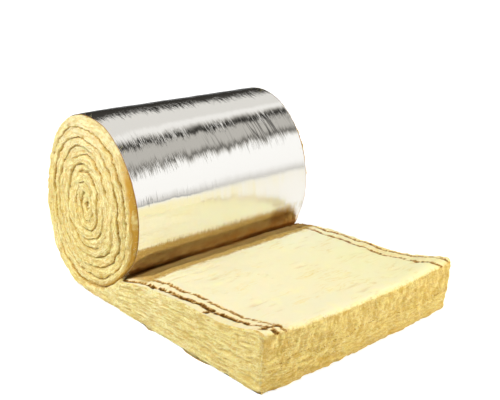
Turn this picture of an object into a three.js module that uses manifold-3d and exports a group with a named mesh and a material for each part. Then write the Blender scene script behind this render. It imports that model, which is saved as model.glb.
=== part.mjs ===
// Foil-faced glass-wool insulation roll, partly unrolled. Millimetres, +Z up.
//
// The product is one long strip of glass wool with an aluminium facing bonded to one side. It is
// wound with the facing outwards. The wound turns are squeezed to a fraction of the strip's free
// thickness, and the free end lies flat on the floor, facing down, where the wool has sprung back.
//
// The wool is one solid: a section in the plane across the roll, extruded along the roll's axis,
// with a spiral groove in each end where one turn meets the next. The facing is a thin band
// outside it, from the cut end to where it tucks into the nip between the roll and the free end.
//
// Origin: centre of the bounding box's base. +X runs from the roll to the free end, +Y along the
// roll's axis.
import * as THREE from "three";
import { mergeVertices } from "three/addons/utils/BufferGeometryUtils.js";
import Module from "manifold-3d";

// Driving dimensions
const WIDTH = 600; // width of the strip, and so the length of the roll
const ROLL_RADIUS = 238; // outer wool face at the foot of the outermost turn
const TURN_PITCH = 25; // one wound turn, squeezed
const TURNS = 9; // from the foot to the core
const FREE_END = 684; // roll's axis to the cut end of the strip
const FREE_THICKNESS = 118; // wool at the cut end, sprung back
const SOFT_CORNER = 14; // rounding of the cut end's upper edge
const SOFT_EDGE = 5; // rounding of the two long edges
const FACING = 0.25; // foil, scrim and kraft laminate
const CLEARANCE = 0.3; // between faces that touch

// The groove between two turns: a V, widest at the end face, with a narrow flat floor.
const GROOVE_DEPTH = 14;
const GROOVE_WIDTH = 7;
const GROOVE_FLOOR = 1;

// The spiral is drawn in equal steps, clockwise from the roll's foot.
const STEPS_PER_TURN = 36;
const NIP_STEP = 31; // where the roll's face meets the top of the free end
const TUCK_STEPS = 2; // how far the facing goes on into the nip
const CURVE_SEGMENTS = 6;

const WOOL_FLOOR = FACING + CLEARANCE;
const AXIS_HEIGHT = WOOL_FLOOR + ROLL_RADIUS;
const LAP_GAP = CLEARANCE + FACING + CLEARANCE;

const wool = new THREE.MeshStandardMaterial({ color: 0xe9d384, roughness: 0.95, metalness: 0 });
const foil = new THREE.MeshStandardMaterial({ color: 0xd6d7d9, roughness: 0.22, metalness: 1 });

const wasm = await Module();
wasm.setup();

// Points along the spiral from one step to another, moved outwards from the wool's outer face.
// The strip rises on the side away from the free end, goes over the top and comes down to the nip.
function spiral(outwards, firstStep, lastStep) {
  const points = [];
  const direction = Math.sign(lastStep - firstStep);
  for (let step = firstStep; step !== lastStep + direction; step += direction) {
    const turn = step / STEPS_PER_TURN;
    const angle = 2 * Math.PI * turn;
    const radius = ROLL_RADIUS - TURN_PITCH * turn + outwards;
    points.push(new THREE.Vector2(-radius * Math.sin(angle), AXIS_HEIGHT - radius * Math.cos(angle)));
  }
  return points;
}

function follow(shape, points) {
  for (const point of points) shape.lineTo(point.x, point.y);
}

// The wool: along the floor to the foot, up and round to the nip, into the slot that holds the
// tucked facing, and back over the free end.
function woolSection() {
  const shape = new THREE.Shape();
  shape.moveTo(FREE_END, WOOL_FLOOR);
  follow(shape, spiral(0, 0, NIP_STEP + TUCK_STEPS));
  follow(shape, spiral(LAP_GAP, NIP_STEP + TUCK_STEPS, NIP_STEP));
  const nip = shape.currentPoint.clone();
  const arcStart = FREE_END - SOFT_CORNER;
  shape.quadraticCurveTo((nip.x + arcStart) / 2, FREE_THICKNESS, arcStart, FREE_THICKNESS);
  shape.absarc(arcStart, FREE_THICKNESS - SOFT_CORNER, SOFT_CORNER, Math.PI / 2, 0, true);
  shape.closePath();
  return shape;
}

// The floor of the groove: a narrow band along the lap, from the nip to the core.
function grooveSection() {
  const lastStep = TURNS * STEPS_PER_TURN;
  const shape = new THREE.Shape();
  shape.setFromPoints([
    ...spiral(LAP_GAP / 2 + GROOVE_FLOOR / 2, NIP_STEP, lastStep),
    ...spiral(LAP_GAP / 2 - GROOVE_FLOOR / 2, lastStep, NIP_STEP),
  ]);
  return shape;
}

// The facing: a thin band outside the wool, from the cut end to the bottom of its slot in the nip.
function facingSection() {
  const lastStep = NIP_STEP + TUCK_STEPS - 1;
  const shape = new THREE.Shape();
  shape.moveTo(FREE_END, 0);
  follow(shape, spiral(CLEARANCE + FACING, 0, lastStep));
  follow(shape, spiral(CLEARANCE, lastStep, 0));
  shape.lineTo(FREE_END, FACING);
  shape.closePath();
  return shape;
}

// A section extruded from one end of the roll to the other, with its edges softened inwards.
function prism(section, width, softEdge) {
  const geometry = new THREE.ExtrudeGeometry(section, {
    depth: width - 2 * softEdge,
    curveSegments: CURVE_SEGMENTS,
    bevelEnabled: softEdge > 0,
    bevelThickness: softEdge,
    bevelSize: softEdge,
    bevelOffset: -softEdge,
    bevelSegments: 2,
  });
  return geometry.translate(0, 0, softEdge);
}

// The tool that cuts one end's groove: it is widest on the end face and narrows to both sides.
function grooveCutter(endFace) {
  const mouth = 1;
  const geometry = new THREE.ExtrudeGeometry(grooveSection(), {
    depth: mouth,
    bevelEnabled: true,
    bevelThickness: GROOVE_DEPTH,
    bevelSize: (GROOVE_WIDTH - GROOVE_FLOOR) / 2,
    bevelSegments: 1,
  });
  return geometry.translate(0, 0, endFace - mouth / 2);
}

function toSolid(geometry) {
  const bare = geometry.clone();
  bare.deleteAttribute("normal");
  bare.deleteAttribute("uv");
  const merged = mergeVertices(bare, 1e-3);
  const vertProperties = new Float32Array(merged.attributes.position.array);
  const triVerts = new Uint32Array(merged.index.array);
  return new wasm.Manifold(new wasm.Mesh({ numProp: 3, vertProperties, triVerts }));
}

function toGeometry(solid) {
  const { vertProperties, triVerts } = solid.getMesh();
  const indexed = new THREE.BufferGeometry();
  indexed.setAttribute("position", new THREE.BufferAttribute(vertProperties, 3));
  indexed.setIndex(new THREE.BufferAttribute(triVerts, 1));
  const geometry = indexed.toNonIndexed();
  geometry.computeVertexNormals();
  return geometry;
}

// Sections are drawn in X and Z and extruded along Y, with y = 0 halfway along the roll.
function piece(name, geometry, width, material) {
  const mesh = new THREE.Mesh(geometry, material);
  mesh.name = name;
  mesh.rotation.x = Math.PI / 2;
  mesh.position.y = width / 2;
  return mesh;
}

const woolBody = toSolid(prism(woolSection(), WIDTH, SOFT_EDGE));
const grooved = [0, WIDTH].reduce(
  (body, endFace) => body.subtract(toSolid(grooveCutter(endFace))),
  woolBody,
);
const facingWidth = WIDTH - 2 * SOFT_EDGE;
const facingBand = prism(facingSection(), facingWidth, 0);

const insulationRoll = new THREE.Group();
insulationRoll.add(piece("wool_blanket", toGeometry(grooved), WIDTH, wool));
insulationRoll.add(piece("foil_facing", facingBand, facingWidth, foil));

// Slide the roll along X until the origin is midway between its back and the cut end.
const extent = new THREE.Box3().setFromObject(insulationRoll);
insulationRoll.position.x = -(extent.min.x + extent.max.x) / 2;

export default insulationRoll;
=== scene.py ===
# Foil-faced glass-wool insulation roll, partly unrolled. Metres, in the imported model's frame:
# the roll's axis runs along Y, and the free end of the strip lies towards +X.
import math

import bpy
import numpy as np
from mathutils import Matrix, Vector


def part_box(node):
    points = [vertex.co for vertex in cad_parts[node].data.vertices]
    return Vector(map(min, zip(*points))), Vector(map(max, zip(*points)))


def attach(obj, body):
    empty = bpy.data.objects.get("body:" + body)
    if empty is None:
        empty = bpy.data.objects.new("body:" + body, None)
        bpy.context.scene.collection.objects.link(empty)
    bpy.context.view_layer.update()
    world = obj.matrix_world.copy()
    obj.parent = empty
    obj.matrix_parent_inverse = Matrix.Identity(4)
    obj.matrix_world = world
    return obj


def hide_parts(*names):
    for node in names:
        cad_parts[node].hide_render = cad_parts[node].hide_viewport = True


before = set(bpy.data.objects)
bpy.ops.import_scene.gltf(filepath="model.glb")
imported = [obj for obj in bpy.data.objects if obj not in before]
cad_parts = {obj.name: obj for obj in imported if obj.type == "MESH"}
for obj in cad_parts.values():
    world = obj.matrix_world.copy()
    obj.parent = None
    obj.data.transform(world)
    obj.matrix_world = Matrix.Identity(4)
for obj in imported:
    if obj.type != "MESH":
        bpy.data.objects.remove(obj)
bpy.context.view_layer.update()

# --------------------------------------------------------------- camera
# A 58 mm lens a little over two metres off, looking down over the cut end's near corner.
camera_place = Vector((1.515, -1.286, 0.888))
camera_turn = math.radians(48.51)
camera_drop = math.radians(18.006)
camera_roll = math.radians(-0.131)


def add_object(name, data):
    """Puts an object into the scene, at the origin."""
    made = bpy.data.objects.new(name, data)
    bpy.context.scene.collection.objects.link(made)
    return made


camera = add_object("camera", bpy.data.cameras.new("camera"))
camera.data.sensor_width = 36
camera.data.lens = 57.72
camera.location = camera_place
camera.rotation_euler = (math.pi / 2 - camera_drop, camera_roll, camera_turn)
bpy.context.scene.camera = camera

# --------------------------------------------------------- wool blanket
# One strip of pale yellow glass wool, laid down in fine layers, sawn to width and cut to length.
# Wound up it is squeezed to a fifth of its thickness and bulges out of both ends of the roll,
# and the free end has sprung back to its full depth.
wool_low, wool_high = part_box("wool_blanket")
half_width = wool_high.y
strip_end = 0.684
axis_x = wool_high.x - strip_end
roll_radius = 0.238
floor_z = wool_low.z
axis_z = floor_z + roll_radius
turn_pitch = 0.025
turns = 9
nip_turn = 0.125
eye_radius = 0.004
lap_gap = 0.00085
bond_gap = 0.0012
hidden_bond_gap = 0.0004
free_depth = 0.118
blunt = 0.014
hem_curve = 0.006


def ramp(value, start, width):
    """0 up to a start, and 1 from a width beyond it."""
    return np.clip((value - start) / width, 0, 1)


def hump(value, centre, width):
    """1 at a centre, and next to nothing from twice a width away."""
    return np.exp(-(((value - centre) / width) ** 2))


def round_back(distance, radius):
    """How far back a rounded edge lies, at a distance from its corner."""
    return radius - np.sqrt(radius**2 - np.clip(radius - distance, 0, None) ** 2)


def stacked(*parts):
    """Arrays put together, with one value of each in every point or face."""
    return np.stack(parts, axis=-1)


def lap_radius(turn):
    """Radius of the lap between two turns, counted inwards from the roll's foot."""
    loose = ramp(turn, 1, 1)
    wander = (
        0.0019 * np.sin(2 * math.pi * 2.17 * turn + 0.6)
        + 0.0015 * np.sin(2 * math.pi * 4.61 * turn + 2.1)
        + 0.0009 * np.sin(2 * math.pi * 9.37 * turn)
    )
    first_heel = 0.009 * hump(turn, 1.12, 0.09)
    second_heel = 0.005 * hump(turn, 2.12, 0.10)
    topmost = np.exp(-(1 + np.cos(2 * math.pi * turn)) / 0.3)
    crown = 0.009 * topmost * ramp(-turn, -5, 3) * loose
    slump = 0.003 * hump(turn, 0.68, 0.08)
    low_belly = 0.006 * hump(turn, 0.17, 0.08)
    high_belly = 0.005 * hump(turn, 0.385, 0.05)
    dents = first_heel + second_heel + crown + slump
    return roll_radius - turn_pitch * turn + loose * wander - dents + (low_belly + high_belly)


def section_point(radius, turn):
    """X from the roll's axis and Z. The roll sags a little, and its core is an upright oval."""
    angle = 2 * math.pi * turn
    sag = -0.0005 - 0.0035 * np.cos(angle) - 0.0045 * np.sin(angle) + 0.004 * np.cos(2 * angle)
    radius = radius + sag * radius / roll_radius
    core = hump(radius, 0, 0.07)
    x = -radius * np.sin(angle) * (1 - 0.22 * core)
    z = -radius * np.cos(angle) * (1 + 0.18 * core)
    return stacked(x, axis_z + z)


def free_top(x, y):
    """Height of the free end's top face: it dips in the middle, and its two corners lift."""
    rise = ramp(x, 0.166, 0.26)
    tip = ramp(x, 0.53, 0.13) ** 1.5
    sideways = np.abs(y) / half_width
    corner = np.where(y < 0, 0.016 * sideways**3, 0.018 * sideways**2)
    squeezed = 0.011 * ramp(-y, 0, half_width) ** 3 * ramp(-x, -0.42, 0.2)
    soft_edge = 0.006 * ramp(x - strip_end, -0.014, 0.014) ** 2
    tuck = 0.0068 * ramp(-x, -0.163, 0.010) ** 1.3
    height = 0.092 + 0.020 * (1 - (1 - rise) ** 3) + (0.012 + corner) * tip
    return height - squeezed - soft_edge - tuck


def settle(points):
    """The strip in its place: its turns creep sideways, and its cut end is blunt and leans out."""
    x, y, z = points[..., 0], points[..., 1], points[..., 2]
    from_cut = 1 - (strip_end - x) / blunt
    from_side = 1 - (half_width - np.abs(y)) / blunt
    blunted = (from_cut > 0) & (from_side > 0)
    reach = np.maximum(from_cut, from_side)
    steep = np.minimum(from_cut, from_side) / np.where(blunted, reach, 1)
    turned = math.pi / 4 * np.where(from_side > from_cut, 2 - steep, steep)
    x = np.where(blunted, strip_end - blunt * (1 - reach * np.cos(turned)), x)
    blunt_y = half_width - blunt * (1 - reach * np.sin(turned))
    y = np.where(blunted, np.sign(y) * blunt_y, y)
    across = ramp(y, -half_width, 2 * half_width)
    above_nip = z - 0.09 - 0.35 * np.clip(x - 0.16, 0, None)
    steep = 0.088 - 0.08 * ramp(x, 0, 0.1) * ramp(above_nip, 0, 0.03)
    tilt = np.where(z < axis_z, steep, 0.05) * (z - axis_z)
    bulge = 0.012 * ramp(x, -0.10, 0.28) * ramp(z, 0.10, 0.14)
    near = tilt - bulge - 0.03 * np.clip(x, -0.23, 0.1)
    far = -0.085 * np.clip(x, 0, None) * ramp(above_nip, 0, 0.03)
    far = far + 0.006 * ramp(x, 0.5, 0.15)
    skew = 0.008 * (1 - across) * np.maximum(ramp(-x, 0, 0.1), ramp(above_nip, 0, 0.12))
    shoulder = 0.010 * hump(x, 0.02, 0.07) * ramp(-y, 0.21, 0.09) ** 1.5
    lean = 0.016 * across * ramp(x, 0.58, 0.10) * ramp(z, 0, 0.06)
    bow = 0.011 * (1 - (2 * across - 1) ** 4) * ramp(x, 0.64, 0.04)
    bow = bow * (1 - ramp(z, 0, 0.08))
    z = z - shoulder * ramp(z, 0.38, 0.06)
    y = y + near * (1 - across) + far * across
    return stacked(x + axis_x + lean + bow - skew, y, z)


fewest_stations = 40
least_radius = 0.02


def wound_stations(step, first_turn, last_turn):
    """Turn values from the core outwards, one step of the strip's length apart."""
    turn, found = float(first_turn), []
    while turn > last_turn:
        found.append(turn)
        radius = max(roll_radius - turn_pitch * turn, least_radius)
        turn -= min(step / (2 * math.pi * radius), 1 / fewest_stations)
    return np.array(found + [last_turn])


# Stations along the strip: from the core out to the foot, on to the nip under the roll, and over
# the free end to the cut.
wound_step = 0.0041
free_stations = 118
wound_turn = wound_stations(wound_step, turns, -nip_turn)
bond_gaps = np.interp(wound_turn, (0.9, 1.1), (bond_gap, hidden_bond_gap))
outer_line = section_point(lap_radius(wound_turn) - bond_gaps, wound_turn)
inner_radius = np.maximum(lap_radius(wound_turn + 1) + lap_gap, eye_radius)
inner_line = section_point(inner_radius, wound_turn)
under_roll = wound_turn < 0
outer_line[under_roll, 0] = inner_line[under_roll, 0]
outer_line[under_roll, 1] = outer_line[~under_roll][-1, 1]

free_x = np.linspace(inner_line[-1, 0], strip_end, free_stations)[1:]
free_floor = np.full(len(free_x), outer_line[-1, 1])
outer_line = np.concatenate([outer_line, stacked(free_x, free_floor)])
inner_line = np.concatenate([inner_line, stacked(free_x, free_top(free_x, 0))])
run = np.concatenate([[0], np.cumsum(np.linalg.norm(np.diff(outer_line, axis=0), axis=1))])
thickness = np.linalg.norm(inner_line - outer_line, axis=1)
spread = ramp(thickness, 0.03, 0.06)
free_mark = -1.0
station_turn = np.concatenate([wound_turn, np.full(len(free_x), free_mark)])
wound = slice(0, len(wound_turn))
free = slice(len(wound_turn), len(run))

# Each long edge is drawn as rows of points from the strip's outer face to its inner face. They
# crowd towards the laps of the wound turns, and the free end has three gaps for each of theirs.
# The first two rows and the last lie on the strip's faces, clear of the soft lip.
wound_gaps = 14
free_gaps = 3 * wound_gaps
crowding = 0.8
wound_margin = 0.026
free_margin = 0.006
lap_reach = 0.0036
inner_corner = 0.004
lapped_corner = 0.004
corner_share = 0.8
tan_reach = 0.008
tan_height = 0.40
calm_reach = 0.020


def edge_grid(side, part, gaps):
    """One long edge by station and row: places, strip coordinates, open directions and shades."""
    turn, thick, loose, along = [
        values[part, None] for values in (station_turn, thickness, spread, run)
    ]
    is_free = turn == free_mark
    even = np.linspace(0, 1, gaps + 1)
    crowded = even - crowding * np.sin(2 * math.pi * even) / (2 * math.pi)
    depth = crowded * (1 - loose) + even * loose
    depth = np.pad(depth, ((0, 0), (2, 1)), constant_values=((0, 0), (0, 1)))
    from_outer = depth * thick
    from_inner = (1 - depth) * thick

    # The laps, on the outer face from the second turn on and on the inner face of every turn.
    outer_lap = ramp(turn, 0.97, 0.06)
    outermost = (1 - outer_lap) * (1 - loose)
    lap = outer_lap * (1 - ramp(from_outer, 0, lap_reach)) ** 2
    lap = lap + (1 - loose) * (1 - ramp(from_inner, 0, lap_reach)) ** 2

    # The corners are rounded, most of all on top of the roll, and the turns creep sideways.
    on_top = 1 - ramp(np.abs(turn - 0.5), 0, 0.25)
    corner = lapped_corner + (0.009 + 0.007 * on_top) * outermost + hem_curve * loose
    rounded = corner_share * round_back(from_outer, corner)
    inset = rounded + round_back(from_inner, inner_corner)
    margin = np.where(is_free[:, 0], free_margin, wound_margin)
    inset[:, 0] = inset[:, -1] = margin
    inset[:, 1] = 0.5 * margin + 0.5 * inset[:, 2]
    creep = 0.003 * np.sin(4.1 * along + side) + 0.002 * np.sin(11.3 * along + 2 * side)
    y = side * (half_width - inset + creep * (1 - loose))
    outer, inner = outer_line[part, None], inner_line[part, None]
    x = outer[..., 0] + (inner[..., 0] - outer[..., 0]) * depth
    top = np.where(is_free, free_top(inner[..., 0], y), inner[..., 1])
    z = outer[..., 1] + (top - outer[..., 1]) * depth
    strip = stacked(np.broadcast_to(along, y.shape), y, depth * free_depth)

    # The directions that the wool is free to bulge in: sideways, upwards on the free end's top,
    # and forwards at the cut.
    open_side = np.ones(depth.shape)
    open_side[:, 0] = open_side[:, -1] = 0
    open_side[:, 1] = 0.5
    open_top = np.zeros(depth.shape)
    open_top[:, -2:] = np.where(is_free, (0.6, 1.0), 0.0)
    facing = stacked(np.zeros(depth.shape), side * open_side, open_top)
    if part == free:
        facing[-1] = facing[-1] * 0.7 + (0.7, 0, 0)
    tan = outermost * np.clip(1.3 - from_outer / tan_reach, 0, 1)
    tan = tan * ramp(-z, -tan_height, 0.06) * (x > 0)
    calm = outermost * (1 - ramp(from_outer, 0, calm_reach))
    return stacked(x, y, z), strip, facing, lap, tan, calm


# Two ragged lines are scored along each long edge of the top face, so the top's columns of points
# follow them. Each has its side, its inset at the nip and at the cut, its width and how dark it is.
score_lines = (
    (-1, 0.013, 0.040, 1.0, 1.0),
    (-1, 0.041, 0.062, 0.8, 0.48),
    (1, 0.038, 0.048, 0.8, 0.5),
    (1, 0.015, 0.015, 0.8, 0.5),
)
score_offsets = np.array([-0.0085, -0.0042, 0.0, 0.0042, 0.0085])
score_shape = np.array([0.0, 0.7, 1.0, 0.7, 0.0])
top_gaps = (2, 1, 1, 1, 1, 4, 1, 1, 1, 1, 110, 1, 1, 1, 1, 4, 1, 1, 1, 1, 2)
free_share = (free_x - free_x[0]) / (free_x[-1] - free_x[0])
knots = [np.full(free_x.shape, free_margin - half_width)]
knot_scores = [0.0]
for order, (side, nip_inset, cut_inset, width, strength) in enumerate(score_lines):
    waver = 0.0017 * np.sin(61 * free_x + 2 * order) + 0.0009 * np.sin(173 * free_x + order)
    waver = waver + np.random.default_rng(order + 3).uniform(-0.0014, 0.0014, len(free_x))
    line_y = side * (half_width - nip_inset - (cut_inset - nip_inset) * free_share) + waver
    knots += [line_y + width * offset for offset in score_offsets]
    knot_scores += list(strength * score_shape)
knots.append(np.full(free_x.shape, half_width - free_margin))
knot_scores.append(0.0)
least_gap = 0.0008
for order in range(1, len(knots) // 2):
    first, last = knots[order - 1], knots[-order]
    knots[order] = np.maximum(knots[order], first + least_gap * top_gaps[order - 1])
    knots[-1 - order] = np.minimum(knots[-1 - order], last - least_gap * top_gaps[-order])
knot_places = np.cumsum([0, *top_gaps])
column_places = np.arange(1, knot_places[-1])
top_y = np.array([np.interp(column_places, knot_places, row) for row in np.array(knots).T])
top_x = np.broadcast_to(free_x[:, None], top_y.shape)
top_score = np.broadcast_to(np.interp(column_places, knot_places, knot_scores), top_y.shape)

# Three dark blots along the near edge, two of them beside the cut.
blots = ((0.656, -0.270, 0.011), (0.660, -0.243, 0.007), (0.484, -0.284, 0.008))
for blot_x, blot_y, blot_size in blots:
    away = np.hypot((top_x - blot_x) / 0.7, top_y - blot_y) / blot_size
    top_score = np.maximum(top_score, 1.3 * np.exp(-(away**2)))
top_place = stacked(top_x, top_y, free_top(top_x, top_y))
top_run = np.broadcast_to(run[free, None], top_y.shape)
top_strip = stacked(top_run, top_y, np.full(top_y.shape, free_depth))

# The top's first rows are shut in the nip, and its last ones lean out over the cut.
top_facing = np.broadcast_to((0.0, 0.0, 1.0), top_place.shape).copy()
top_facing[:2, :, 2] = [[0.0], [0.5]]
top_facing[-3:] = [[(0.15, 0, 0.94)], [(0.45, 0, 0.8)], [(0.78, 0, 0.55)]]

# The cut face fills the last section, between the two edges. It has one column more at each side,
# which starts a row higher, because the edges' own points are there on the floor.
cut_gaps = free_gaps
inset_y = half_width - free_margin
cut_share = np.linspace(0, 1, cut_gaps + 1)[:-1, None]
cut_corner = 0.010


def cut_grid(y, share):
    """Points on the cut face: places, strip coordinates, open directions and no shades."""
    y, share = np.broadcast_arrays(y, share)
    z = free_floor[0] + (free_top(strip_end, y) - free_floor[0]) * share
    x = strip_end - 0.4 * round_back(share * free_depth, cut_corner)
    place = stacked(x, y, z)
    strip = stacked(np.full(y.shape, run[-1]), y, share * free_depth)
    return place, strip, np.broadcast_to((1.0, 0.0, 0.0), place.shape), *np.zeros((3, *y.shape))


edge_parts = ((wound, wound_gaps), (free, free_gaps))
grids = [edge_grid(side, part, gaps) for side in (-1, 1) for part, gaps in edge_parts]
grids.append((top_place, top_strip, top_facing, *np.zeros((3, *top_y.shape))))
grids.append(cut_grid(top_y[-1], cut_share))
grids += [cut_grid(side * inset_y, cut_share[1:, 0]) for side in (-1, 1)]
starts = np.cumsum([0] + [grid[3].size for grid in grids])
near_wound, near_free, far_wound, far_free, top, cut, cut_near, cut_far = [
    start + np.arange(grid[3].size).reshape(grid[3].shape) for start, grid in zip(starts, grids)
]


def quads(grid):
    """Faces of a grid of vertex numbers, whose first index runs right and second runs up."""
    corners = [grid[:-1, :-1], grid[1:, :-1], grid[1:, 1:], grid[:-1, 1:]]
    return stacked(*corners).reshape(-1, 4).tolist()


def stitch(few, many):
    """Faces from a wound section to the free one after it, which has three gaps for one."""
    faces = [[few[0], many[0], many[1], few[1]], [few[1], many[1], many[2], few[2]]]
    for gap in range(wound_gaps):
        faces.append([few[2 + gap], *many[2 + 3 * gap : 6 + 3 * gap], few[3 + gap]])
    return faces + [[few[-2], many[-2], many[-1], few[-1]]]


# The two long edges.
wool_faces = quads(near_wound) + quads(near_free) + stitch(near_wound[-1], near_free[0])
wool_faces += quads(far_wound[:, ::-1]) + quads(far_free[:, ::-1])
wool_faces += [face[::-1] for face in stitch(far_wound[-1], far_free[0])]

# The wound turns' inner face, and the free end's top after it.
wool_faces += quads(stacked(near_wound[:, -1], far_wound[:, -1]))
wool_faces += quads(np.column_stack([near_free[:, -1], top, far_free[:, -1]]))
top_start = [near_free[0, -1], *top[0], far_free[0, -1]]
wool_faces.append([near_wound[-1, -1], *top_start, far_wound[-1, -1]])

# The whole strip's outer face, and its first section, at the core.
near_foot = np.concatenate([near_wound[:, 0], near_free[:, 0]])
far_foot = np.concatenate([far_wound[:, 0], far_free[:, 0]])
wool_faces += quads(stacked(far_foot[:-1], near_foot[:-1]))
wool_faces.append([far_foot[-2], far_foot[-1], *cut[0][::-1], near_foot[-1], near_foot[-2]])
wool_faces.append([*near_wound[0], *far_wound[0][::-1]])

# The cut face, its foot and its two lower corners.
near_last, far_last = near_free[-1], far_free[-1]
cut_sheet = np.column_stack([near_last[3:-2], cut_near, cut[1:], cut_far, far_last[3:-2]])
cut_sheet = np.vstack([cut_sheet, [*near_last[-2:], *top[-1], *far_last[-2:][::-1]]])
wool_faces += quads(cut_sheet.T)
cut_foot = np.concatenate([near_last[:1], cut[0], far_last[:1]])
wool_faces += quads(stacked(cut_foot, cut_sheet[0, 1:-1]))
wool_faces.append([near_last[2], near_last[1], near_last[0], cut_sheet[0, 1], cut_sheet[0, 0]])
wool_faces.append([far_last[0], far_last[1], far_last[2], cut_sheet[0, -1], cut_sheet[0, -2]])

wool_mesh = bpy.data.meshes.new("wool_blanket_form")
place, strip, facing = [
    np.concatenate([grid[part].reshape(-1, 3) for grid in grids]) for part in range(3)
]
wool_mesh.from_pydata(settle(place).tolist(), [], wool_faces)
scores = np.zeros(starts[-1])
scores[top.ravel()] = top_score.ravel()
spreads = np.ones(starts[-1])
for edge, part in ((near_wound, wound), (far_wound, wound), (near_free, free), (far_free, free)):
    spreads[edge] = spread[part, None]


def store(mesh, name, values):
    """Keeps a number or a vector for each vertex under a name."""
    flat = np.asarray(values, np.float32)
    kind, field = ("FLOAT", "value") if flat.ndim == 1 else ("FLOAT_VECTOR", "vector")
    mesh.attributes.new(name, kind, "POINT").data.foreach_set(field, flat.ravel())


store(wool_mesh, "strip", strip)
store(wool_mesh, "facing", facing)
for part, name in ((3, "lap"), (4, "tan"), (5, "calm")):
    store(wool_mesh, name, np.concatenate([grid[part].ravel() for grid in grids]))
store(wool_mesh, "score", scores)
store(wool_mesh, "spread", spreads)
wool_form = add_object("wool_blanket_form", wool_mesh)


def wire(tree, node, inputs):
    """Links or sets a node's inputs, by name or by number."""
    for name, value in inputs.items():
        if isinstance(value, bpy.types.NodeSocket):
            tree.links.new(value, node.inputs[name])
        else:
            node.inputs[name].default_value = value


def add_node(tree, kind, inputs=(), **settings):
    """Adds a node, sets its properties and wires its inputs."""
    node = tree.nodes.new(kind)
    for name, value in settings.items():
        setattr(node, name, value)
    wire(tree, node, dict(inputs))
    return node


def tree_of(*values):
    """The node tree that the first socket among some values is in."""
    return next(value.id_data for value in values if isinstance(value, bpy.types.NodeSocket))


def maths(operation, *values):
    """One math node, or a chain of them where there are more than two values."""
    tree = tree_of(*values)
    result = values[0]
    for value in values[1:] or (0.0,):
        inputs = {0: result, 1: value}
        result = add_node(tree, "ShaderNodeMath", inputs, operation=operation).outputs[0]
    return result


def times(*values):
    return maths("MULTIPLY", *values)


def plus(*values):
    return maths("ADD", *values)


def minus(*values):
    return maths("SUBTRACT", *values)


def over(first, second):
    return maths("DIVIDE", first, second)


def highest(*values):
    return maths("MAXIMUM", *values)


def off_from(value, centre):
    """How far a value is from a centre, on either side."""
    return maths("ABSOLUTE", minus(value, centre))


def vector_maths(operation, output, inputs):
    tree = tree_of(*inputs.values())
    return add_node(tree, "ShaderNodeVectorMath", inputs, operation=operation).outputs[output]


def scale_by(vector, factor):
    return vector_maths("SCALE", 0, {0: vector, "Scale": factor})


def add_up(first, second):
    return vector_maths("ADD", 0, {0: first, 1: second})


def length_of(vector):
    return vector_maths("LENGTH", "Value", {0: vector})


def noise(vector, scale, detail=2.0, output="Fac", **more):
    inputs = {"Vector": vector, "Scale": scale, "Detail": detail, **more}
    return add_node(tree_of(vector), "ShaderNodeTexNoise", inputs).outputs[output]


def combine(x, y, z):
    return add_node(tree_of(x, y, z), "ShaderNodeCombineXYZ", {0: x, 1: y, 2: z}).outputs[0]


def separate(vector):
    return add_node(tree_of(vector), "ShaderNodeSeparateXYZ", {0: vector}).outputs


def ease(value, low, high):
    """0 below low, 1 above high, and smooth between them."""
    inputs = {"Value": value, "From Min": low, "From Max": high}
    smooth = {"interpolation_type": "SMOOTHSTEP"}
    return add_node(tree_of(value), "ShaderNodeMapRange", inputs, **smooth).outputs[0]


def thin_lines(level, width):
    """1 where a noise level crosses its middle, and 0 away from there."""
    return minus(1.0, ease(off_from(level, 0.5), 0.0, width))


def blend(share, first, second):
    """One colour, turned into another as much as a share says."""
    inputs = {0: share, 6: first, 7: second}
    return add_node(tree_of(share), "ShaderNodeMix", inputs, data_type="RGBA").outputs[2]


def coat(tone, colour, *shares):
    """Lays a colour over a tone, as much as the product of its shares."""
    return blend(times(*shares) if shares[1:] else shares[0], tone, colour)


def coats(tone, *layers):
    """Lays colours over a tone in turn, each with its shares."""
    for colour, *shares in layers:
        tone = coat(tone, colour, *shares)
    return tone


def kept(tree, name, output="Fac"):
    """A value that the mesh keeps, in a material."""
    return add_node(tree, "ShaderNodeAttribute", attribute_name=name).outputs[output]


def paint(red, green, blue):
    """A colour from its screen values, 0 to 255."""
    levels = [level / 255 for level in (red, green, blue)]
    return tuple(v / 12.92 if v <= 0.04045 else ((v + 0.055) / 1.055) ** 2.4 for v in levels) + (1,)


def object_spot(tree):
    """The shaded point's place on its object."""
    return add_node(tree, "ShaderNodeTexCoord").outputs["Object"]


def new_look(name):
    """A new material, its node tree and its shader."""
    material = bpy.data.materials.new(name)
    material.use_nodes = True
    return material, material.node_tree, material.node_tree.nodes["Principled BSDF"]


# Its colour is cream on the open top and straw where it is sawn, with painted shade in ochre down
# between the layers and in the relief's other hollows.
# The outermost turn's edge beside the foil is tan, and the top near the nip is painted darker and
# browner as the roll's shade.
# Towards its far side the top is more yellow, and next to the nip there it is painted paler, a
# painted light against the roll's shade.
wool_cream = paint(243, 233, 190)
wool_pale = paint(248, 238, 176)
wool_straw = paint(240, 228, 158)
wool_ochre = paint(207, 166, 74)
wool_deep = paint(166, 116, 30)
wool_tan = paint(206, 160, 68)
# The next two are painted shade for the band of the top beside the nip.
wool_nip_shade_dark = paint(180, 144, 76)
wool_nip_shade_pale = paint(230, 188, 112)
wool_gold = paint(237, 212, 123)
wool_amber = paint(252, 231, 150)
wool_primrose = paint(255, 242, 185)
# Painted light: the top's far side next to the nip, paler against the roll's shade.
wool_nip_light = paint(255, 248, 208)
# Rust for the scored lines, also painted as dark shade deep in the nip.
wool_rust_and_nip_shade = paint(164, 112, 42)
wool_scorch = paint(90, 56, 12)
wool_singed = paint(230, 194, 112)

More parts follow.
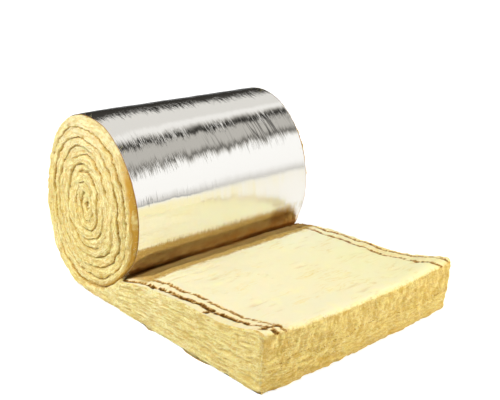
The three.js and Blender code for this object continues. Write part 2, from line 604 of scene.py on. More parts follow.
nip_run = run[free][0]
wool_look, look, wool_shader = new_look("glass_wool")
spot = object_spot(look)
along, across, deep = separate(kept(look, "strip", "Vector"))
faces_front, _, faces_up = separate(kept(look, "facing", "Vector"))
wound_share = minus(1.0, kept(look, "spread"))


def past_nip(start, end):
    """0 before one distance from the nip along the free end, and 1 after another."""
    return ease(along, nip_run + start, nip_run + end)


def ragged(value, amount):
    """A value made uneven by the torn fibres."""
    return plus(value, times(minus(tears, 0.5), amount))


free_packing = 180.0
wound_packing = 32.0
packing = minus(free_packing, times(wound_share, free_packing - wound_packing))
streak_spot = combine(times(along, 13.0), times(across, 18.0), times(deep, packing))
streaks = noise(streak_spot, 1.0, 4.0, Roughness=0.62, Distortion=0.5)
clouds = noise(spot, 18.0, 2.0)
flecks = noise(spot, 170.0, 4.0, Roughness=0.75)
grain = noise(spot, 340.0, 2.0, Roughness=0.7)
tears = noise(spot, 120.0, 3.0, Roughness=0.75)
ragged_up = plus(faces_up, times(minus(flecks, 0.5), 0.7))
open_top = ease(ragged_up, 0.40, 0.95)
sawn_face = minus(1.0, open_top)

# The sawn faces, with the threads of their layers, and crimps across the cut face's upper part.
warmer = plus(times(past_nip(0.15, 0.55), 0.5), times(faces_front, 0.34))
threads = thin_lines(streaks, 0.05)
crimp_spot = combine(3.0, times(across, 110.0), times(deep, 26.0))
crimp_level = noise(crimp_spot, 1.0, 3.0, Roughness=0.6, Distortion=0.4)
crimped_part = times(faces_front, ease(deep, 0.055, 0.095))
tone = coats(
    blend(ease(clouds, 0.35, 0.68), wool_straw, wool_pale),
    (wool_pale, ease(flecks, 0.50, 0.68), 0.6),
    (wool_gold, ease(flecks, 0.50, 0.38), 0.5),
    (wool_gold, warmer),
    (wool_ochre, threads, ease(flecks, 0.38, 0.52), 0.85),
    (wool_ochre, thin_lines(crimp_level, 0.06), crimped_part, 0.75),
)

# The open top, with faint gold lines painted as the shade of its fine wrinkles, and the ragged lip
# that it makes over the cut face.
top_tone = blend(ease(clouds, 0.15, 0.45), wool_pale, wool_cream)
# On the far side the top turns more yellow, and next to the nip it is painted paler, as painted
# light against the roll's shade.
far_tone_and_nip_light = blend(past_nip(0.05, 0.35), wool_nip_light, wool_primrose)
top_tone = coat(top_tone, far_tone_and_nip_light, ease(across, -0.15, 0.25), 0.8)
wrinkle_shade_spot = combine(times(along, 46.0), times(across, 9.0), 4.0)
wrinkle_shade_patches = ease(noise(spot, 13.0, 2.0), 0.46, 0.60)
wrinkle_shade = thin_lines(noise(wrinkle_shade_spot, 1.0, 3.0, Roughness=0.6, Distortion=0.6), 0.035)
top_tone = coat(top_tone, wool_gold, wrinkle_shade, wrinkle_shade_patches, 0.5)
tone = blend(open_top, tone, top_tone)
lip = times(ease(faces_front, 0.05, 0.3), ease(faces_front, 0.98, 0.7))
tone = coat(tone, wool_pale, lip, ease(tears, 0.60, 0.42), 0.8)

# Fine grain all over the sawn faces. They are paler high up, and the cut face is split in two.
_, _, height = separate(spot)
split_height = 0.056
split_off = minus(deep, split_height, times(minus(clouds, 0.5), 0.05))
split = ease(maths("ABSOLUTE", split_off), 0.0024, 0.0006)
dark_crimps = times(thin_lines(crimp_level, 0.030), crimped_part, ease(flecks, 0.56, 0.46))
dark_layers = times(thin_lines(streaks, 0.030), faces_front, ease(flecks, 0.54, 0.44))
in_hollow = plus(0.5, times(faces_front, 0.1))
tone = coats(
    tone,
    (wool_cream, ease(grain, 0.56, 0.68), sawn_face, 0.85),
    (wool_ochre, ease(grain, 0.43, 0.32), sawn_face, 0.75),
    (wool_cream, ease(height, 0.22, 0.46), 0.45),
    (wool_amber, ease(deep, 0.045, 0.110), faces_front, 0.45, sawn_face),
    (wool_deep, split, faces_front, ease(flecks, 0.54, 0.46), 0.8),
    (wool_ochre, ease(deep, 0.040, 0.0), faces_front, 0.42),
    (wool_deep, highest(dark_crimps, dark_layers), 0.5),
    # Painted shade: ochre in the relief's seams, tuft hollows and folds.
    (wool_ochre, ease(kept(look, "hollow"), 0.1, 1.0), in_hollow),
    (wool_ochre, ease(flecks, 0.38, 0.32), sawn_face, 0.6),
)

# The tan edge beside the foil, and the laps between the turns, painted ochre and dark brown as the
# shade in those crevices.
tanned = blend(ease(streaks, 0.50, 0.72), wool_tan, wool_straw)
lap_shade = kept(look, "lap")
dotted = times(lap_shade, ease(flecks, 0.56, 0.40))
tone = coats(
    tone,
    (tanned, kept(look, "tan")),
    (wool_ochre, ease(lap_shade, 0.1, 0.8), 0.6),
    (wool_deep, ease(dotted, 0.3, 0.9), 0.8),
)

# The scored lines: a singed halo, rust in it, and scorched in the middle.
scorched = kept(look, "scorch")
score_level = ragged(scorched, 2.3)
marked = ease(scorched, 0.05, 0.30)
by_edge = times(ease(maths("ABSOLUTE", across), 0.235, 0.255), open_top,
                past_nip(0.10, 0.40), ease(tears, 0.30, 0.65), 0.3)
singed = highest(by_edge, times(ease(scorched, 0.0, 0.30), 0.6))
tone = coats(
    tone,
    (wool_singed, singed),
    (wool_rust_and_nip_shade, ease(score_level, 0.05, 0.40), marked, 0.9),
    (wool_scorch, ease(score_level, 0.42, 0.80), marked),
)

# The band of the top beside the nip, painted darker and browner as the roll's shadow and its warm
# bounce light, which the foil then reflects brown, and painted dark shade deep in the nip.
roll_side = times(ease(deep, 0.112, 0.117), ease(across, -0.285, -0.265))
torn_edge = ragged(along, 0.030)
nip_shade = times(ease(torn_edge, nip_run + 0.094, nip_run + 0.076), roll_side)
nip_shade_tone = blend(past_nip(0.010, 0.070), wool_nip_shade_pale, wool_nip_shade_dark)
nip_shade_tone = coat(nip_shade_tone, wool_gold, ease(tears, 0.45, 0.65), 0.35)
tone = coats(
    tone, (nip_shade_tone, nip_shade), (wool_rust_and_nip_shade, past_nip(0.016, 0.006), roll_side, 0.9),
)

sawn_share = minus(1.0, times(open_top, 0.75))
fuzz = plus(times(threads, -0.35), flecks)
fuzz_bump = add_node(look, "ShaderNodeBump", {
    "Height": times(fuzz, sawn_share), "Strength": 0.55, "Distance": 0.0045,
})
wire(look, wool_shader, {
    "Base Color": tone, "Normal": fuzz_bump.outputs[0],
    "Roughness": 0.92, "Specular IOR Level": 0.05,
    "Sheen Weight": 0.12, "Sheen Tint": (1.0, 0.86, 0.52, 1), "Sheen Roughness": 0.5,
    "Subsurface Weight": 0.6, "Subsurface Radius": (1.0, 0.75, 0.4), "Subsurface Scale": 0.004,
})

# The relief: lumps and tufts all over the sawn faces, plies across each wound turn, layers and
# crimps in the free end, folds across its top, and a groove at each lap.
relief_sizes = {
    "Lump Size": 0.030, "Lump Depth": 0.011, "Tuft Size": 0.0065, "Tuft Depth": 0.0044,
    "Curl Size": 0.048, "Curl Depth": 0.012, "Kink Size": 0.011, "Kink Depth": 0.0090,
    "Groove Depth": 0.0036, "Ply Pitch": 0.0085, "Ply Depth": 0.0020,
    "Layer Pitch": 0.0095, "Layer Depth": 0.0032, "Crimp Pitch": 0.0150, "Crimp Depth": 0.0028,
    "Quilt Size": 0.09, "Quilt Depth": 0.013,
    "Fold Pitch": 0.030, "Fold Length": 0.20, "Fold Depth": 0.0030,
    "Score Depth": 0.0055, "Hem Lift": 0.0045, "Floor Height": 0.0003,
}


def new_tree(name, sizes):
    """An empty tree with named inputs, and the sockets that they give."""
    tree = bpy.data.node_groups.new(name, "GeometryNodeTree")
    tree.interface.new_socket("Geometry", in_out="INPUT", socket_type="NodeSocketGeometry")
    tree.interface.new_socket("Geometry", in_out="OUTPUT", socket_type="NodeSocketGeometry")
    for size_name in sizes:
        tree.interface.new_socket(size_name, in_out="INPUT", socket_type="NodeSocketFloat")
    return tree, tree.nodes.new("NodeGroupInput").outputs


def end_tree(tree, geometry, material):
    """Closes a tree: what it made becomes one plain mesh with its material."""
    made = add_node(tree, "GeometryNodeRealizeInstances", {"Geometry": geometry}).outputs[0]
    looks = {"Geometry": made, "Material": material}
    made = add_node(tree, "GeometryNodeSetMaterial", looks).outputs[0]
    tree.links.new(made, tree.nodes.new("NodeGroupOutput").inputs[0])


def bake(source, tree, sizes, name):
    """Runs a tree on an object and keeps the result as a plain mesh of the given name."""
    modifier = source.modifiers.new("tree", "NODES")
    modifier.node_group = tree
    for item in tree.interface.items_tree:
        if item.name in sizes:
            modifier[item.identifier] = sizes[item.name]
    shaped = source.evaluated_get(bpy.context.evaluated_depsgraph_get())
    mesh = bpy.data.meshes.new_from_object(shaped)
    made = add_object(name, mesh)
    bpy.data.objects.remove(source)
    mesh.shade_smooth()
    return made


def held(tree, name, kind="FLOAT"):
    """A value that the mesh keeps, in a geometry tree."""
    inputs = {"Name": name}
    return add_node(tree, "GeometryNodeInputNamedAttribute", inputs, data_type=kind).outputs[0]


def move_points(tree, geometry, **places):
    """Moves a geometry's points, to a Position or by an Offset."""
    return add_node(tree, "GeometryNodeSetPosition", {"Geometry": geometry, **places}).outputs[0]


relief, given = new_tree("wool_relief", relief_sizes)
here = relief.nodes.new("GeometryNodeInputPosition").outputs[0]
along, across, deep = separate(held(relief, "strip", "FLOAT_VECTOR"))
facing_here = held(relief, "facing", "FLOAT_VECTOR")
front, sideways, upward = separate(facing_here)
side_share = maths("ABSOLUTE", sideways)
sprung = held(relief, "spread")
squeezed = minus(1.0, sprung)


def swell(vector, kind, detail=2.0, **more):
    """Noise of a kind's size and depth, as much below zero as above it."""
    level = noise(vector, over(1.0, given[kind + " Size"]), detail, **more)
    return times(minus(level, 0.5), given[kind + " Depth"])


lumps = swell(here, "Lump")
lumps = times(lumps, plus(1.0, times(front, 0.7)))
squeezed_share = 1 - turn_pitch / free_depth
packed_deep = minus(deep, times(deep, squeezed, squeezed_share))
tuft_spot = combine(times(along, 0.5), across, packed_deep)
tufts = swell(tuft_spot, "Tuft", 3.0, Roughness=0.65)


def seams(vector, kind, width):
    """1 along thin wandering lines about a kind's pitch apart, and 0 between them."""
    scale = over(1.0, given[kind + " Pitch"])
    return thin_lines(noise(vector, scale, 2.0, Roughness=0.6, Distortion=0.3), width)


ply_spot = combine(times(along, 0.16), across, times(deep, turn_pitch / free_depth))
plies = times(seams(ply_spot, "Ply", 0.09), squeezed)
layer_spot = combine(times(along, 0.09), times(across, 0.11), deep)
crimp_spot = combine(0.0, across, times(deep, 0.30))
crimped = times(front, ease(deep, 0.030, 0.060))
layers = times(seams(layer_spot, "Layer", 0.06), sprung, minus(1.0, times(crimped, 0.5)))
crimps = times(seams(crimp_spot, "Crimp", 0.09), crimped)
sawn = maths("MINIMUM", plus(front, side_share), 1.0)
kinds = (("Ply", plies), ("Layer", layers), ("Crimp", crimps))
creased = plus(*[times(marks, given[kind + " Depth"]) for kind, marks in kinds])
quilt = swell(here, "Quilt")
east, north, _ = separate(here)
fold_spot = combine(over(east, given["Fold Pitch"]), over(north, given["Fold Length"]), 0.0)
fold_level = noise(fold_spot, 1.0, 1.0, Distortion=0.4)
folded = ease(noise(here, 9.0, 1.0), 0.46, 0.58)
fold = times(thin_lines(fold_level, 0.035), folded, maths("GREATER_THAN", upward, 0.9))
broken = ease(noise(here, 60.0, 2.0), 0.28, 0.45)
scorch = times(held(relief, "score"), broken)
top_push = minus(plus(quilt, times(tufts, 0.45)),
                 times(fold, given["Fold Depth"]), times(scorch, given["Score Depth"]))
uneven = ease(noise(here, 38.0, 2.0), 0.3, 0.6)
uneven = plus(times(uneven, 1.15), 0.05)
groove = times(held(relief, "lap"), given["Groove Depth"], uneven)
sawn_push = minus(plus(lumps, tufts), creased, groove)
push = add_node(relief, "ShaderNodeMix", {
    0: ease(upward, 0.6, 1.0), 2: sawn_push, 3: top_push,
}).outputs[0]
moved = add_up(here, scale_by(facing_here, push))

# Neighbouring turns curl and kink together, so the laps between them stay closed.
bends = []
for kind in ("Curl", "Kink"):
    bend = noise(here, over(1.0, given[kind + " Size"]), 2.0, "Color")
    bend = add_up(bend, (-0.5, -0.5, -0.5))
    looseness = minus(1.0, times(held(relief, "calm"), 0.75))
    reach = times(given[kind + " Depth"], side_share, squeezed, looseness)
    bends.append(scale_by(bend, reach))
moved = add_up(moved, add_up(*bends))
hem = minus(1.0, ease(deep, 0.0, 0.012))
hem = times(hem, sawn, sprung, ease(noise(here, 34.0, 2.0), 0.45, 0.72))
east, north, height = separate(moved)
height = plus(height, times(hem, given["Hem Lift"]))
moved = combine(east, north, highest(height, given["Floor Height"]))
shaped = move_points(relief, given["Geometry"], Position=moved)
# How far each point lies in a seam, a tuft's hollow or a fold, which the wool's material paints
# ochre as shade.
hollow = highest(plies, layers, crimps, times(tufts, -500.0))
hollow = highest(times(hollow, sawn), times(fold, 0.6))
for name, value in (("hollow", hollow), ("scorch", scorch)):
    stored = {"Geometry": shaped, "Name": name, "Value": value}
    shaped = add_node(relief, "GeometryNodeStoreNamedAttribute", stored).outputs[0]
end_tree(relief, shaped, wool_look)

wool_piece = bake(wool_form, relief, relief_sizes, "glass_wool_strip")
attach(wool_piece, "root")
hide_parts("wool_blanket")

# ---------------------------------------------------------- foil facing
# Bright aluminium foil on a scrim and kraft backing, glued to the wool's outer side. Winding has
# pressed fine creases into it, all running round the roll, and its edges stop short of the wool.
foil_lift = 0.0003
foil_thickness = 0.00025
near_set_backs = (
    (0.0, 0.010), (0.45, 0.012), (0.60, 0.015), (0.75, 0.028), (0.82, 0.018), (0.86, 0.010),
)
far_set_back = 0.007
hidden_set_back = 0.022
cut_set_back = 0.010
tucked_turn = 1.06
hidden_step = 0.010
shown_step = 0.0075
floor_stations = 29
foil_columns = 210


def foil_line(turn):
    return section_point(lap_radius(turn) + foil_lift, turn)


inner_turn = wound_stations(hidden_step, turns, tucked_turn)[:-1]
outer_turn = wound_stations(shown_step, tucked_turn, 0.0)
floor_x = np.linspace(0, strip_end - cut_set_back, floor_stations)[1:]
shown_line = foil_line(outer_turn)
floor_line = stacked(floor_x, np.full(len(floor_x), shown_line[-1, 1]))
hidden_line = foil_line(inner_turn)
foil_path = np.concatenate([hidden_line, shown_line, floor_line])
foil_run = np.concatenate([[0], np.cumsum(np.linalg.norm(np.diff(foil_path, axis=0), axis=1))])
hidden_count = len(hidden_line)
foil_turn = np.concatenate([inner_turn, outer_turn, np.zeros(len(floor_x))])
foot = hidden_count + len(shown_line) - 1
on_floor = ramp(foil_run, foil_run[foot], 0.1)

# Under the free end the near edge is set back 16 mm, and it is almost flush at two places.
foil_x = foil_path[:, 0]
slipped = hump(foil_x, 0.285, 0.03) + np.exp(-(((foil_x - 0.465) / 0.06) ** 4))
near_floor = 0.016 - 0.0155 * slipped
near_set_back = np.interp(foil_turn, *zip(*near_set_backs))
near_edge = half_width - near_set_back * (1 - on_floor) - near_floor * on_floor
far_edge = half_width - far_set_back * (1 - on_floor) + 0.0015 * np.sin(31 * foil_run) * on_floor
near_edge[:hidden_count] = far_edge[:hidden_count] = half_width - hidden_set_back

edges = stacked(-near_edge, far_edge)
even = np.linspace(0, 1, foil_columns + 1)
hidden_y = edges[:hidden_count]
shown_y = edges[hidden_count:, :1] * (1 - even) + edges[hidden_count:, 1:] * even
foil_places, foil_strips = [], []
for y, part in ((hidden_y, slice(0, hidden_count)), (shown_y, slice(hidden_count, None))):
    x, z = [np.broadcast_to(foil_path[part, axis, None], y.shape) for axis in (0, 1)]
    foil_places.append(stacked(x, y, z).reshape(-1, 3))
    along = np.broadcast_to(foil_run[part, None], y.shape)
    foil_strips.append(stacked(along, y, np.zeros(y.shape)).reshape(-1, 3))
hidden = np.arange(2 * hidden_count).reshape(-1, 2)
shown = 2 * hidden_count + np.arange(shown_y.size).reshape(shown_y.shape)
foil_faces = quads(hidden[:, ::-1]) + quads(shown[:, ::-1])
foil_faces.append([hidden[-1, 1], *shown[0][::-1], hidden[-1, 0]])
foil_mesh = bpy.data.meshes.new("foil_facing_form")
foil_mesh.from_pydata(settle(np.concatenate(foil_places)).tolist(), [], foil_faces)
store(foil_mesh, "strip", np.concatenate(foil_strips))
hidden_zeros = np.zeros(2 * hidden_count)
slack = np.repeat(1 - on_floor[hidden_count:], foil_columns + 1)
store(foil_mesh, "slack", np.concatenate([hidden_zeros, slack]))
hem = np.zeros(shown_y.shape)
hem[:, [0, -1]] = 1
store(foil_mesh, "hem", np.concatenate([hidden_zeros, hem.ravel()]))
foil_form = add_object("foil_facing_form", foil_mesh)

# Its colour and its fine bump: swells and creases, with painted dark reflections in the creases and
# a painted brown reflection of the shaded wool by the nip, most of them on lines along the roll.
foil_silver = (0.97, 0.97, 0.965, 1)
foil_shade = (0.05, 0.048, 0.045, 1)
# Painted reflection of the shaded wool by the nip, browner on the near side.
near_nip_reflection = (0.47, 0.28, 0.12, 1)
far_nip_reflection = (0.82, 0.51, 0.13, 1)
# Painted reflection of the shade at the nip's far end.
foil_dark_reflection = (0.40, 0.22, 0.09, 1)
kraft = paint(186, 130, 66)
foil_look, look, foil_shader = new_look("foil")
along, across, _ = separate(kept(look, "strip", "Vector"))
patch_spot = combine(times(along, 10.0), times(across, 13.0), 5.0)
patches = ease(noise(patch_spot, 1.0, 2.0), 0.40, 0.62)


def streaked(along_scale, across_scale, slant, seed, detail=1.0):
    """A noise level drawn out round the roll, a little aslant."""
    aslant = plus(across, times(along, slant))
    streak_spot = combine(times(along, along_scale), times(aslant, across_scale), seed)
    return noise(streak_spot, 1.0, detail, Distortion=0.2)


def along_at(turn):
    """How far along the strip a turn of the roll's outside is."""
    return float(np.interp(turn, foil_turn[::-1], foil_run[::-1]))


def near_line(turn, reach):
    """1 on a line along the roll, and 0 beyond a reach from it."""
    return ease(off_from(along, along_at(turn)), reach, 0.0)


def between_turns(first, second):
    """0 at one turn of the roll's outside, and 1 at another."""
    return ease(along, along_at(first), along_at(second))


# The swells are almost flat on one plain stretch, and shallow near two of the lines.
plain = times(between_turns(0.795, 0.78), between_turns(0.68, 0.71))
rim_share = ease(across, -0.21, -0.25)
plain = highest(plain, times(rim_share, between_turns(0.74, 0.77)))
broad = plus(times(ease(across, -0.20, -0.08), 0.36), 0.58)
broad = times(highest(near_line(0.655, 0.070), near_line(0.602, 0.050)), broad)
plain_swell = highest(times(plain, 0.93), broad)
swell_kinds = ((9.0, 80.0, 0.35), (14.0, 170.0, 0.35), (30.0, 420.0, 0.22))
swell_heights = []
for along_scale, across_scale, height in swell_kinds:
    still = minus(height, times(plain_swell, height))
    swell_heights.append(times(streaked(along_scale, across_scale, 0.0, height, 2.0), still))
spikes = ease(streaked(13.0, 190.0, 0.04, 2.0), 0.54, 0.70)
ticks = ease(streaked(34.0, 330.0, 0.06, 4.0), 0.54, 0.68)
mostly_near = plus(times(ease(across, -0.12, -0.23), 0.8), 0.08)
lines = highest(
    near_line(0.528, 0.034), times(near_line(0.602, 0.030), 0.55),
    times(near_line(0.655, 0.034), mostly_near),
    times(near_line(0.716, 0.022), ease(across, -0.10, -0.22)),
    times(near_line(0.803, 0.020), 0.9),
)
gathered = times(plus(patches, 0.12), plus(lines, 0.05), minus(1.0, times(plain, 0.9)))
spikes = times(plus(times(spikes, 1.1), times(ticks, 0.4)), gathered)

# Longer creases run aslant between two of the lines, most of them on the far half; they are painted
# as thin dark lines, a painted reflection of their shade.
long_off = off_from(streaked(4.0, 52.0, 0.14, 9.0), 0.5)
long_spot = combine(times(along, 5.0), times(across, 9.0), 8.0)
long_patches = ease(noise(long_spot, 1.0, 1.0), 0.44, 0.60)
far_share = plus(ease(across, -0.15, 0.20), 0.05)
amid = times(between_turns(0.655, 0.635), between_turns(0.585, 0.60))
long = times(ease(long_off, 0.055, 0.0), long_patches, far_share, amid)
foil_bump = add_node(look, "ShaderNodeBump", {
    "Height": plus(spikes, *swell_heights), "Strength": 0.7, "Distance": 0.0018,
})

# Short creases hang from four lines along the roll, and thin out away from each; they and the
# longer ones are painted dark, a painted reflection of the shade in each crease.
creased = []
near_share = ease(across, -0.08, -0.20)
crease_lines = (
    (0.528, 0.030, 230.0, 0.9, 0.9), (0.604, 0.020, 240.0, 0.9, 0.6),
    (0.655, 0.022, 210.0, 0.65, 0.12), (0.712, 0.018, 200.0, 0.6, 0.05),
)
for turn, reach, wide, weight, far_weight in crease_lines:
    off = off_from(along, along_at(turn))
    level = minus(streaked(12.0, wide, 0.02, 10 * turn), times(off, 0.2 / reach))
    crowd = times(ease(level, 0.50, 0.58), plus(patches, 0.15))
    share = plus(times(near_share, weight - far_weight), far_weight)
    creased.append(times(crowd, share))
creased.append(times(long, 0.7))
bright = coat(foil_silver, foil_shade, highest(*creased))
# Painted reflection: by the nip the foil is painted brown, darker on the near side, for its
# reflection of the shaded wool there.
mottled = ease(streaked(38.0, 30.0, 0.0, 6.0, 3.0), 0.35, 0.65)
nip_reflection_tone = blend(ease(across, -0.20, 0.10), near_nip_reflection, far_nip_reflection)
bright = coat(bright, nip_reflection_tone, between_turns(0.800, 0.865), plus(times(mottled, 0.5), 0.2))
# Painted reflection: a dark brown patch near the nip's far end, for the shade reflected there.
blotch = ease(off_from(across, 0.211), 0.052, 0.020)
bright = coat(bright, foil_dark_reflection, blotch, near_line(0.821, 0.050), 0.75)

# The far end's foot is rubbed dull, and bare kraft shows along the edges.
dull = times(near_line(0.765, 0.130), ease(across, -0.15, 0.02), 0.16)
backing = ease(kept(look, "hem"), 0.45, 0.55)
wire(look, foil_shader, {
    "Base Color": blend(backing, bright, kraft), "Metallic": minus(1.0, backing),
    "Roughness": plus(dull, 0.08), "Normal": foil_bump.outputs[0],
})

crease_sizes = {
    "Crease Pitch": 0.011, "Crease Length": 0.07, "Crease Depth": 0.0005,
    "Ripple Pitch": 0.06, "Ripple Length": 0.20, "Ripple Depth": 0.0030,
}
creases, given = new_tree("foil_creases", crease_sizes)
along, across, _ = separate(held(creases, "strip", "FLOAT_VECTOR"))
folds = []
for kind in ("Crease", "Ripple"):
    sheet_spot = combine(over(along, given[kind + " Length"]),
                         over(across, given[kind + " Pitch"]), 1.3)
    level = minus(noise(sheet_spot, 1.0, 2.0), 0.5)
    folds.append(times(level, given[kind + " Depth"]))
push = times(plus(*folds), held(creases, "slack"))
outward = creases.nodes.new("GeometryNodeInputNormal").outputs[0]
shaped = move_points(creases, given["Geometry"], Offset=scale_by(outward, push))
end_tree(creases, shaped, foil_look)

foil_piece = bake(foil_form, creases, crease_sizes, "foil_facing_strip")
shell = foil_piece.modifiers.new("thickness", "SOLIDIFY")
shell.thickness = foil_thickness
shell.offset = 1
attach(foil_piece, "root")
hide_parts("foil_facing")

# --------------------------------------------------------- loose fibres
# Wisps of glass fibre stand out of every sawn and cut face, where the blade has torn them free.
# Each is a bent tube of three sides that tapers to its tip.
wisp_look, look, wisp_shader = new_look("loose_fibres")
spot = object_spot(look)
wisp_share = ease(noise(spot, 130.0, 2.0), 0.35, 0.65)
wire(look, wisp_shader, {
    "Base Color": blend(wisp_share, wool_straw, wool_cream),
    "Roughness": 0.7, "Specular IOR Level": 0.2,
})

wisp_sizes = {
    "Density": 9000.0, "Length": 0.0085, "Radius": 0.00038, "Bend": 0.005,
    "Floor Height": 0.0004, "Near Limit": -0.3265,
}
wisp_lean = 0.9
wisp_steps = 4
wisps, given = new_tree("wool_wisps", wisp_sizes)
wisp_facing = separate(held(wisps, "facing", "FLOAT_VECTOR"))
torn = highest(wisp_facing[0], maths("ABSOLUTE", wisp_facing[1]))
torn = maths("GREATER_THAN", torn, 0.45)
scattered = add_node(wisps, "GeometryNodeDistributePointsOnFaces", {
    "Mesh": given["Geometry"], "Density": times(torn, given["Density"]), "Seed": 7,
}, distribute_method="RANDOM")
line = add_node(wisps, "GeometryNodeCurvePrimitiveLine", {"End": (0, 0, 1)}).outputs[0]
line = add_node(wisps, "GeometryNodeResampleCurve", {"Curve": line, "Count": wisp_steps}).outputs[0]
share = add_node(wisps, "GeometryNodeSplineParameter").outputs["Factor"]
sideways = times(share, share, given["Bend"])
bent = combine(sideways, 0.0, times(share, given["Length"]))
line = move_points(wisps, line, Position=bent)
taper = times(minus(1.05, share), given["Radius"])
line = add_node(wisps, "GeometryNodeSetCurveRadius", {"Curve": line, "Radius": 1.0}).outputs[0]
ring = add_node(wisps, "GeometryNodeCurvePrimitiveCircle", {"Resolution": 3, "Radius": 1.0})
tube = add_node(wisps, "GeometryNodeCurveToMesh", {
    "Curve": line, "Profile Curve": ring.outputs[0], "Fill Caps": True, "Scale": taper,
}).outputs[0]
turn = add_node(wisps, "FunctionNodeRandomValue", {
    0: (-wisp_lean, -wisp_lean, -math.pi), 1: (wisp_lean, wisp_lean, math.pi), "Seed": 3,
}, data_type="FLOAT_VECTOR").outputs[0]
aim = add_node(wisps, "FunctionNodeRotateRotation", {
    "Rotation": scattered.outputs["Rotation"], "Rotate By": turn,
}, rotation_space="LOCAL").outputs[0]
size = add_node(wisps, "FunctionNodeRandomValue", {
    2: 0.45, 3: 1.15, "Seed": 5,
}, data_type="FLOAT").outputs[1]
standing = add_node(wisps, "GeometryNodeInstanceOnPoints", {
    "Points": scattered.outputs["Points"], "Instance": tube, "Rotation": aim, "Scale": size,
}).outputs[0]
standing = add_node(wisps, "GeometryNodeRealizeInstances", {"Geometry": standing}).outputs[0]
east, north, height = separate(wisps.nodes.new("GeometryNodeInputPosition").outputs[0])
north = highest(north, given["Near Limit"])
laid = combine(east, north, highest(height, given["Floor Height"]))
end_tree(wisps, move_points(wisps, standing, Position=laid), wisp_look)

wisp_form = add_object("wool_wisps_form", wool_piece.data.copy())
wisp_piece = bake(wisp_form, wisps, wisp_sizes, "loose_fibres")
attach(wisp_piece, "root")

# --------------------------------------------------------------- studio
# A plain white floor that runs out of sight, one soft lamp overhead, and three weaker ones low
# down on the right, on the left and behind. The foil sees dark and pale bands in the sky, each
# at a bearing round the roll's axis in degrees, and a yellow card on the floor.
card_bands = (
    (-150, 0.30), (-12, 0.72), (-5, 0.66), (-1, 0.56), (3, 0.74), (8, 0.98), (41, 1.0),
    (45, 0.56), (48.5, 0.08), (52, 0.34), (56, 0.50), (77, 0.50), (79.5, 0.10), (82, 0.01),
    (86, 0.10), (90, 0.50), (95, 0.86), (102, 0.88), (108, 0.74), (140, 0.74), (144, 0.05),
    (176, 0.03),
)
unlit_band = (0.3, 0.3, 0.3, 1)
soft_sky = (0.18, 0.18, 0.18, 1)
white = (1, 1, 1, 1)
world = bpy.data.worlds.new("studio")
bpy.context.scene.world = world
world.use_nodes = True
sky = world.node_tree
ray = sky.nodes.new("ShaderNodeLightPath").outputs
direction = separate(add_node(sky, "ShaderNodeTexCoord").outputs["Generated"])
bearing = maths("ARCTAN2", direction[2], direction[0])

# The upper bands lean along the roll.
askew = times(ease(bearing, 0.3, 0.6), ease(bearing, 2.1, 1.7), 1.15)
bearing = minus(bearing, times(askew, minus(direction[1], 0.61)))
bearing = add_node(sky, "ShaderNodeMapRange", {
    "Value": bearing, "From Min": -math.pi, "From Max": math.pi,
}).outputs[0]
cards = add_node(sky, "ShaderNodeValToRGB", {0: bearing})

# Each band's tint depends on its level.
bands = cards.color_ramp.elements
for angle, level in card_bands:
    green, blue = level * (0.93 + 0.055 * level), level * (0.80 + 0.15 * level)
    bands.new((angle + 180) / 360).color = (level, green, blue, 1)
bands[0].color = bands[-1].color = unlit_band
seen = blend(ray["Is Glossy Ray"], soft_sky, cards.outputs[0])
seen = blend(ray["Is Camera Ray"], seen, white)
wire(sky, sky.nodes["Background"], {"Color": seen})

lamp_aim = Vector((-0.1, 0, 0.2))
for name, place, size, power in (
    ("overhead", (0.0, -1.9, 2.9), 0.22, 76),
    ("right_fill", (2.0, 0.7, 0.8), 1.2, 29.5),
    ("left_fill", (-1.3, -2.3, 0.6), 1.4, 22),
    ("back_fill", (-0.9, 2.4, 0.42), 0.7, 22),
):
    lamp = add_object(name, bpy.data.lights.new(name, "AREA"))
    lamp.data.shape = "SQUARE"
    lamp.data.size = size
    lamp.data.energy = power
    lamp.location = place
    lamp.rotation_euler = (lamp_aim - Vector(place)).to_track_quat("-Z", "Y").to_euler()
    lamp.visible_glossy = False


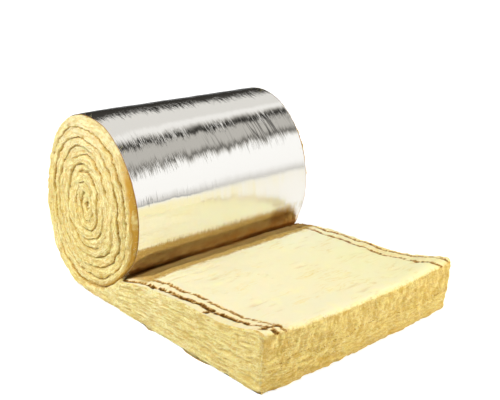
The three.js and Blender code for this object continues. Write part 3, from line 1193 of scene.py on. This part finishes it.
def add_sheet(name, corners, height, material):
    """One flat face on the floor, with its corners in order."""
    mesh = bpy.data.meshes.new(name)
    mesh.from_pydata([(x, y, height) for x, y in corners], [], [range(len(corners))])
    mesh.materials.append(material)
    return add_object(name, mesh)


# The floor glows for the camera, more so far out, and faintly for the foil.
floor_reach = 30.0
floor_drop = 0.0006
near_glow = 0.68
added_glow = 0.30
mirrored_glow = 0.2
floor_look, look, floor_shader = new_look("floor")
ray = look.nodes.new("ShaderNodeLightPath").outputs
seen_floor = plus(ray["Is Camera Ray"], times(ray["Is Glossy Ray"], mirrored_glow))
away = length_of(object_spot(look))
glow = plus(near_glow, times(ease(away, 0.6, 2.0), added_glow))
wire(look, floor_shader, {
    "Base Color": (0.85, 0.85, 0.85, 1), "Roughness": 1.0, "Specular IOR Level": 0.0,
    "Emission Color": white, "Emission Strength": times(seen_floor, glow),
})
sides = ((-1, -1), (1, -1), (1, 1), (-1, 1))
floor_corners = [(floor_reach * x, floor_reach * y) for x, y in sides]
floor = add_sheet("floor", floor_corners, -floor_drop, floor_look)

# A pale yellow card on the floor beyond the free end, which only the foil sees: it glows, a painted
# yellow reflection for the foil.
card_corners = [(0.50, -1.5), (8.0, -1.5), (8.0, 8.0), (-0.25, 8.0), (-0.25, 0.33), (0.50, 0.33)]
card_yellow = (0.94, 0.84, 0.47, 1)
far_yellow = (0.95, 0.91, 0.74, 1)
side_cream = (0.93, 0.90, 0.83, 1)
card_look, look, card_shader = new_look("yellow_card")
card_spot = object_spot(look)
card_east, card_north, _ = separate(card_spot)
away = length_of(card_spot)
offside = minus(card_north, times(card_east, 0.83))
offside = over(offside, plus(away, 0.35))
fading = coat(card_yellow, far_yellow, ease(card_east, 1.2, 6.0))
fading = coat(fading, side_cream, ease(offside, -0.32, 0.24))
wire(look, card_shader, {
    "Base Color": (0, 0, 0, 1), "Specular IOR Level": 0.0,
    "Emission Color": fading, "Emission Strength": 1.05,
})
card = add_sheet("yellow_card", card_corners, 0, card_look)
card.visible_camera = card.visible_diffuse = card.visible_shadow = card.visible_transmission = False

bpy.context.scene.view_settings.view_transform = "Standard"
